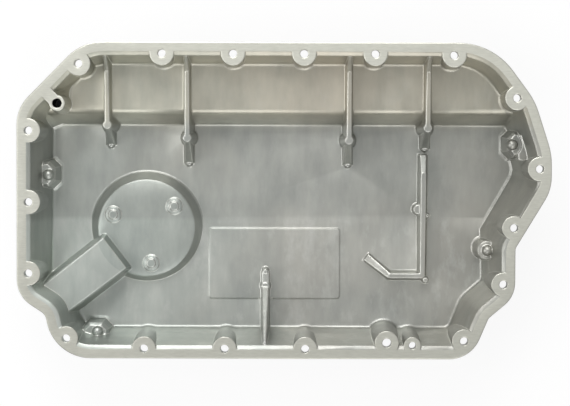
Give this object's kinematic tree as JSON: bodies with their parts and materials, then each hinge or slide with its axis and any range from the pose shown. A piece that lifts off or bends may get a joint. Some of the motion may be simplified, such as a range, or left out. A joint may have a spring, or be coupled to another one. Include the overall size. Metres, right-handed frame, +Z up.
{
  "type": "engine oil pan",
  "caption": "Shallow cast aluminium oil pan, open at the top, with a bolted gasket flange, a rear shelf with ribs, a deep floor, a round level-sensor seat and a cable channel.",
  "frame": {"origin": "middle of the bounding box at the flat underside", "axes": "+X along the pan's length to the end with the slanted corner, +Y to the shelf side, +Z up out of the opening"},
  "size_m": [0.451, 0.2672, 0.064],
  "materials": {
    "cast_aluminium": "bare die-cast aluminium, as cast inside and outside, with a finely machined gasket face"
  },
  "bodies": {
    "root": {"oil_pan": "cast_aluminium"}
  },
  "joints": []
}
